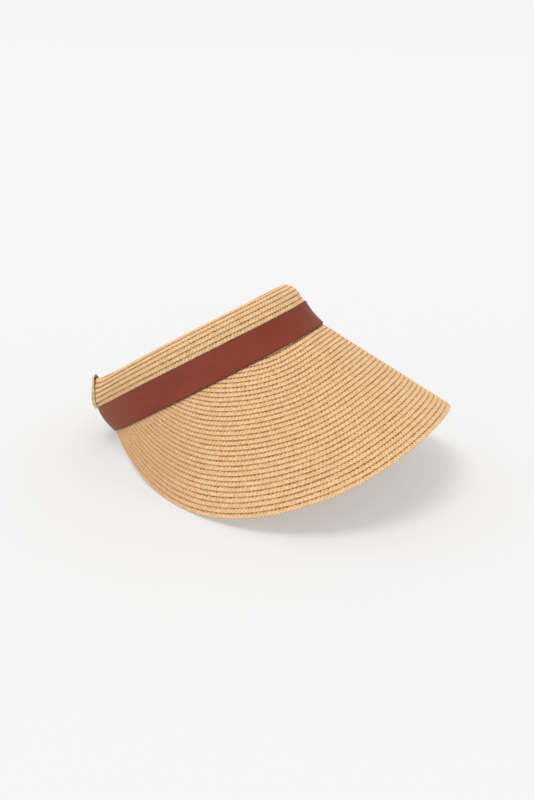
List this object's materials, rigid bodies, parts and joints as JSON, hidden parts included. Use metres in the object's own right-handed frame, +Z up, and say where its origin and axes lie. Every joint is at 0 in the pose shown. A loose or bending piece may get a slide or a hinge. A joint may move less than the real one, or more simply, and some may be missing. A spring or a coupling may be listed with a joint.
{
  "type": "sun visor",
  "caption": "Open-topped straw sun visor: sewn braid crown and wide downward brim, leather band round the crown, sweatband inside, lapped touch-tape closure at the back.",
  "frame": {"origin": "middle of the visor's outline seen from above, on the floor it rests on", "axes": "+X towards the wearer's left, -Y towards the front of the brim, +Z up; the crown axis leans back from +Z by 32.3 degrees towards +Y, because the visor lies nose up"},
  "size_m": [0.2352, 0.298, 0.1445],
  "materials": {
    "straw_braid": "matte",
    "leather": "satin",
    "ribbon": "matte",
    "closure_tape": "matte"
  },
  "bodies": {
    "root": {"brim_braid_01": "straw_braid", "brim_braid_02": "straw_braid", "brim_braid_03": "straw_braid", "brim_braid_04": "straw_braid", "brim_braid_05": "straw_braid", "brim_braid_06": "straw_braid", "brim_braid_07": "straw_braid", "brim_braid_08": "straw_braid", "brim_braid_09": "straw_braid", "brim_braid_10": "straw_braid", "brim_braid_11": "straw_braid", "brim_braid_12": "straw_braid", "brim_braid_13": "straw_braid", "brim_braid_14": "straw_braid", "brim_braid_15": "straw_braid", "brim_braid_16": "straw_braid", "brim_braid_17": "straw_braid", "brim_braid_18": "straw_braid", "brim_braid_19": "straw_braid", "brim_braid_20": "straw_braid", "brim_braid_21": "straw_braid", "brim_braid_22": "straw_braid", "brim_braid_23": "straw_braid", "brim_braid_24": "straw_braid", "brim_braid_25": "straw_braid", "brim_braid_26": "straw_braid", "brim_braid_27": "straw_braid", "brim_braid_28": "straw_braid", "brim_braid_29": "straw_braid", "brim_braid_30": "straw_braid", "brim_braid_31": "straw_braid", "crown_braid_01": "straw_braid", "crown_braid_02": "straw_braid", "crown_braid_03": "straw_braid", "crown_braid_04": "straw_braid", "crown_braid_05": "straw_braid", "crown_braid_06": "straw_braid", "crown_braid_07": "straw_braid", "crown_braid_08": "straw_braid", "crown_braid_09": "straw_braid", "crown_braid_10": "straw_braid", "crown_braid_11": "straw_braid", "crown_braid_12": "straw_braid", "leather_band": "leather", "sweatband": "ribbon", "loop_tape": "closure_tape", "hook_tape": "closure_tape"}
  },
  "joints": []
}
